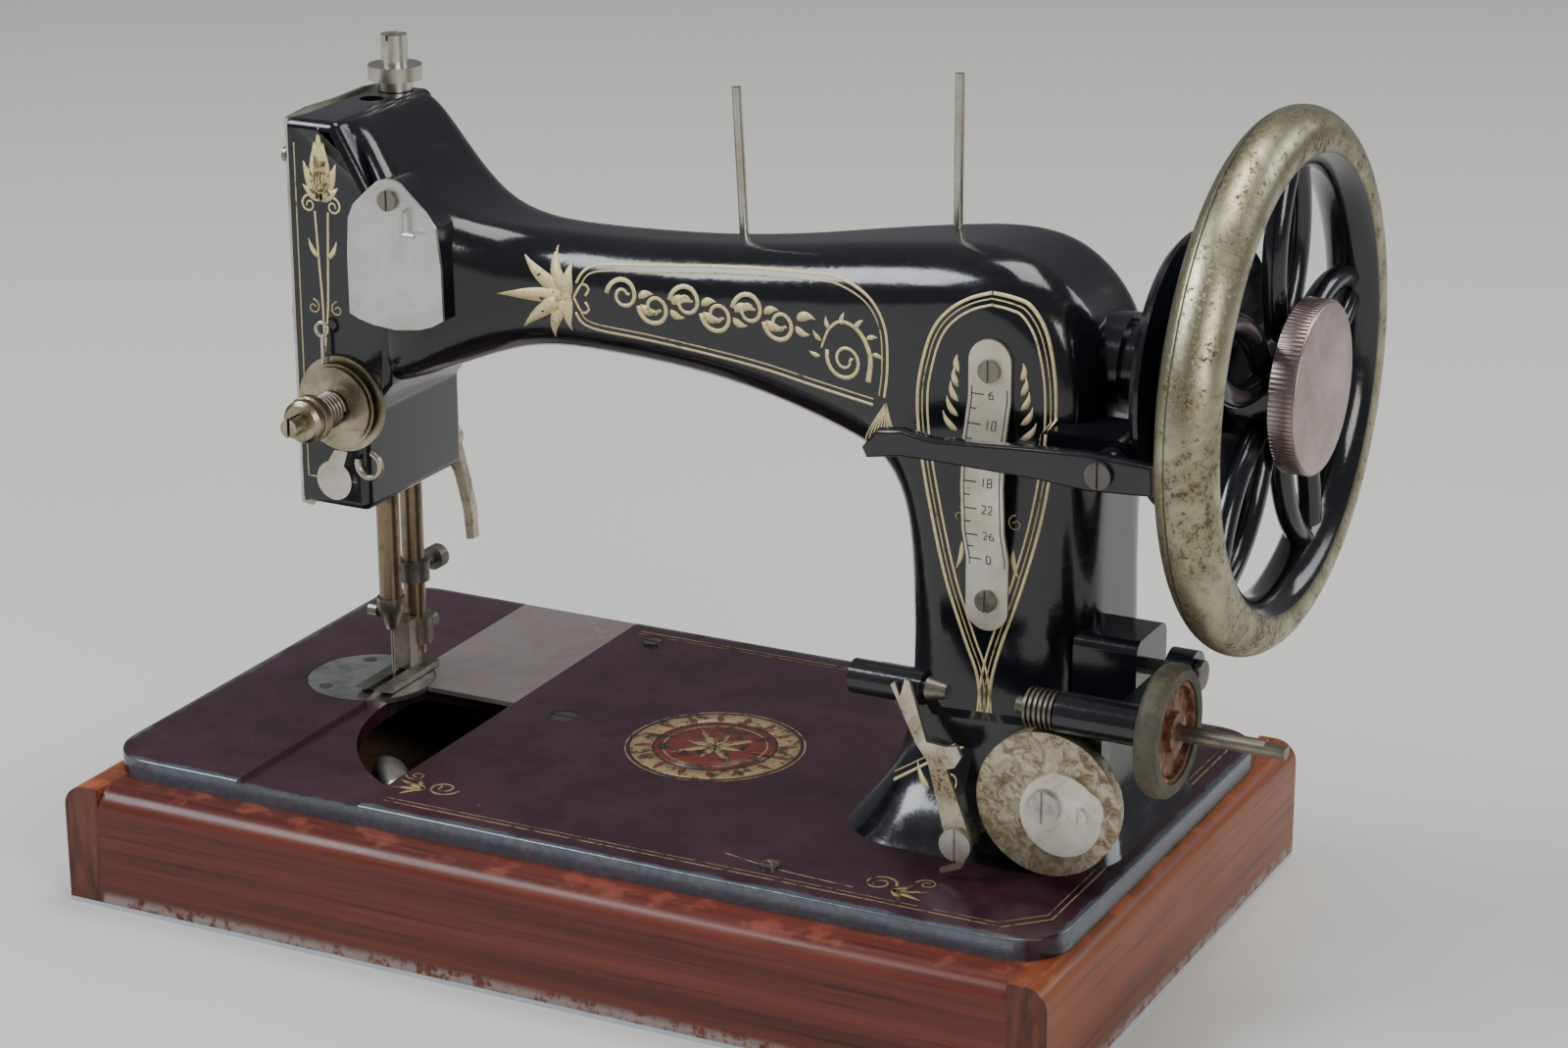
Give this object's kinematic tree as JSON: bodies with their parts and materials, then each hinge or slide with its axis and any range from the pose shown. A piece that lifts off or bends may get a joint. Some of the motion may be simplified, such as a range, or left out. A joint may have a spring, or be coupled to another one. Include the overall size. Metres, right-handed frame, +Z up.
{
  "type": "sewing machine",
  "caption": "Antique lockstitch sewing machine with curved japanned arm, plated spoked handwheel, bobbin winder, stitch lever and a low wooden base.",
  "frame": {"origin": "centre of the base's underside", "axes": "+X from the head towards the handwheel, +Y away from the operator, +Z up"},
  "size_m": [0.3853, 0.205, 0.2701],
  "materials": {
    "japanned_iron": "gloss",
    "japanned_parts": "gloss",
    "nickel_plate": "worn plated",
    "bright_steel": "satin",
    "brass_bars": "satin",
    "bare_cast_iron": "matte",
    "varnished_wood": "satin varnish",
    "bottom_board": "matte",
    "felt": "fuzzy",
    "rubber": "matte"
  },
  "bodies": {
    "frame": {"arm_casting": "japanned_iron", "bed_plate": "japanned_iron", "base_side_boards": "varnished_wood", "base_end_boards": "varnished_wood", "base_bottom_panel": "bottom_board", "base_felt": "felt", "base_cleats": "varnished_wood", "arm_bolts": "bright_steel", "case_screws": "bright_steel", "pivot_screws": "bright_steel", "thread_guides": "nickel_plate", "face_plate": "nickel_plate", "needle_plate": "bright_steel", "spool_pins": "bright_steel", "shaft_bushes": "bare_cast_iron", "stitch_scale": "nickel_plate", "rear_cover": "nickel_plate", "tension_stud": "bright_steel", "tension_discs": "nickel_plate", "tension_spring": "bright_steel"},
    "shaft": {"main_shaft": "bright_steel", "needle_crank": "bright_steel", "shaft_eccentrics": "bright_steel", "handwheel": "japanned_iron", "handwheel_rim": "nickel_plate"},
    "clutch": {"clutch_knob": "nickel_plate"},
    "needle_link": {"needle_bar_link": "bright_steel"},
    "shuttle_rod": {"shuttle_connecting_rod": "bare_cast_iron"},
    "feed_rod": {"feed_connecting_rod": "bare_cast_iron"},
    "needle_drive": {"needle_bar": "brass_bars", "needle_clamp": "bright_steel", "needle_clamp_screw": "bright_steel", "needle": "bright_steel"},
    "take_up": {"take_up_lever": "nickel_plate"},
    "presser": {"presser_bar": "brass_bars", "presser_foot": "bright_steel", "presser_bar_knobs": "bright_steel", "presser_spring": "bright_steel"},
    "lifter": {"presser_lifter": "nickel_plate"},
    "pressure": {"pressure_screw": "nickel_plate"},
    "lever": {"stitch_lever": "japanned_parts"},
    "slide_plate": {"rear_slide_plate": "bright_steel"},
    "head_cover": {"head_cover_plate": "nickel_plate"},
    "shuttle_rock": {"shuttle_rock_shaft": "bare_cast_iron"},
    "carrier": {"shuttle_carrier": "bare_cast_iron", "shuttle": "bright_steel", "bobbin": "bright_steel"},
    "feed_rock": {"feed_rock_shaft": "bare_cast_iron"},
    "feed": {"feed_bar": "bright_steel", "feed_dog": "bright_steel"},
    "winder": {"winder_frame": "japanned_parts", "winder_screws": "bright_steel", "bobbin_centre": "japanned_parts"},
    "spindle": {"winder_spindle": "nickel_plate", "friction_wheel": "nickel_plate", "rubber_tyre": "rubber"},
    "worm_gear": {"worm_wheel": "nickel_plate", "heart_cam": "nickel_plate"},
    "guide": {"guide_lever": "nickel_plate"},
    "tension": {"tension_nut": "nickel_plate"}
  },
  "joints": [
    {"name": "main_shaft_turn", "type": "hinge", "parent": "frame", "child": "shaft", "pos_m": [0.15, 0.0047, 0.1906], "axis": [1, 0, 0], "continuous": true},
    {"name": "clutch_knob_turn", "type": "hinge", "parent": "shaft", "child": "clutch", "pos_m": [0.2, 0.0047, 0.1906], "axis": [1, 0, 0], "range_deg": [0, 90]},
    {"name": "needle_link_turn", "type": "hinge", "parent": "shaft", "child": "needle_link", "pos_m": [-0.107, 0.0047, 0.1766], "axis": [1, 0, 0], "continuous": true},
    {"name": "shuttle_rod_turn", "type": "hinge", "parent": "shaft", "child": "shuttle_rod", "pos_m": [0.1057, 0.0047, 0.1946], "axis": [1, 0, 0], "continuous": true},
    {"name": "feed_rod_turn", "type": "hinge", "parent": "shaft", "child": "feed_rod", "pos_m": [0.1217, 0.0047, 0.1936], "axis": [1, 0, 0], "continuous": true},
    {"name": "needle_bar_slide", "type": "slide", "parent": "frame", "child": "needle_drive", "axis": [0, 0, 1], "range_m": [0, 0.028]},
    {"name": "take_up_turn", "type": "hinge", "parent": "frame", "child": "take_up", "pos_m": [-0.1194, 0.018, 0.195], "axis": [-1, 0, 0], "range_deg": [-3, 47]},
    {"name": "presser_lifter_turn", "type": "hinge", "parent": "frame", "child": "lifter", "pos_m": [-0.1035, 0.029, 0.1265], "axis": [0, -1, 0], "range_deg": [0, 75]},
    {"name": "presser_bar_slide", "type": "slide", "parent": "frame", "child": "presser", "axis": [0, 0, 1], "range_m": [0, 0.006], "deforming": ["presser_spring"]},
    {"name": "pressure_screw_turn", "type": "hinge", "parent": "frame", "child": "pressure", "pos_m": [-0.1128, 0.019, 0.247], "axis": [0, 0, 1], "range_deg": [-180, 180]},
    {"name": "stitch_lever_turn", "type": "hinge", "parent": "frame", "child": "lever", "pos_m": [0.155, -0.0387, 0.171], "axis": [0, 1, 0], "range_deg": [-30, 20]},
    {"name": "slide_plate_slide", "type": "slide", "parent": "frame", "child": "slide_plate", "axis": [0, 1, 0], "range_m": [0, 0.06]},
    {"name": "head_cover_swing", "type": "hinge", "parent": "frame", "child": "head_cover", "pos_m": [-0.0846, -0.031, 0.2218], "axis": [0, -1, 0], "range_deg": [0, 90]},
    {"name": "shuttle_rock_turn", "type": "hinge", "parent": "frame", "child": "shuttle_rock", "pos_m": [0, 0.024, 0.0229], "axis": [1, 0, 0], "range_deg": [0, 24]},
    {"name": "shuttle_carrier_turn", "type": "hinge", "parent": "frame", "child": "carrier", "pos_m": [-0.047, 0.003, 0.025], "axis": [0, 0, -1], "range_deg": [0, 45]},
    {"name": "feed_rock_turn", "type": "hinge", "parent": "frame", "child": "feed_rock", "pos_m": [0, 0.042, 0.0229], "axis": [1, 0, 0], "range_deg": [-4, 4]},
    {"name": "feed_bar_slide", "type": "slide", "parent": "frame", "child": "feed", "axis": [0, 1, 0], "range_m": [-0.0009, 0.0009]},
    {"name": "winder_swing", "type": "hinge", "parent": "frame", "child": "winder", "pos_m": [0.17, -0.011, 0.104], "axis": [-1, 0, 0], "range_deg": [0, 9]},
    {"name": "winder_spindle_turn", "type": "hinge", "parent": "winder", "child": "spindle", "pos_m": [0.18, -0.052, 0.1024], "axis": [1, 0, 0], "continuous": true},
    {"name": "worm_wheel_turn", "type": "hinge", "parent": "winder", "child": "worm_gear", "pos_m": [0.1465, -0.052, 0.074], "axis": [0, 1, 0], "continuous": true},
    {"name": "guide_lever_turn", "type": "hinge", "parent": "winder", "child": "guide", "pos_m": [0.1205, -0.058, 0.0585], "axis": [0, 1, 0], "range_deg": [-10, 10]},
    {"name": "tension_nut_turn", "type": "hinge", "parent": "frame", "child": "tension", "pos_m": [-0.105, -0.05, 0.154], "axis": [0, 1, 0], "range_deg": [-180, 180]}
  ],
  "couplings": [
    {"joint": "needle_link_turn", "follows": "main_shaft_turn", "ratio": -1},
    {"joint": "shuttle_rod_turn", "follows": "main_shaft_turn", "ratio": -1},
    {"joint": "feed_rod_turn", "follows": "main_shaft_turn", "ratio": -1},
    {"joint": "presser_lifter_turn", "follows": "presser_bar_slide", "rad_per_m": 218.17},
    {"joint": "shuttle_carrier_turn", "follows": "shuttle_rock_turn", "ratio": 1.875},
    {"joint": "feed_bar_slide", "follows": "feed_rock_turn", "m_per_rad": -0.011},
    {"joint": "worm_wheel_turn", "follows": "winder_spindle_turn", "ratio": 0.010417}
  ]
}
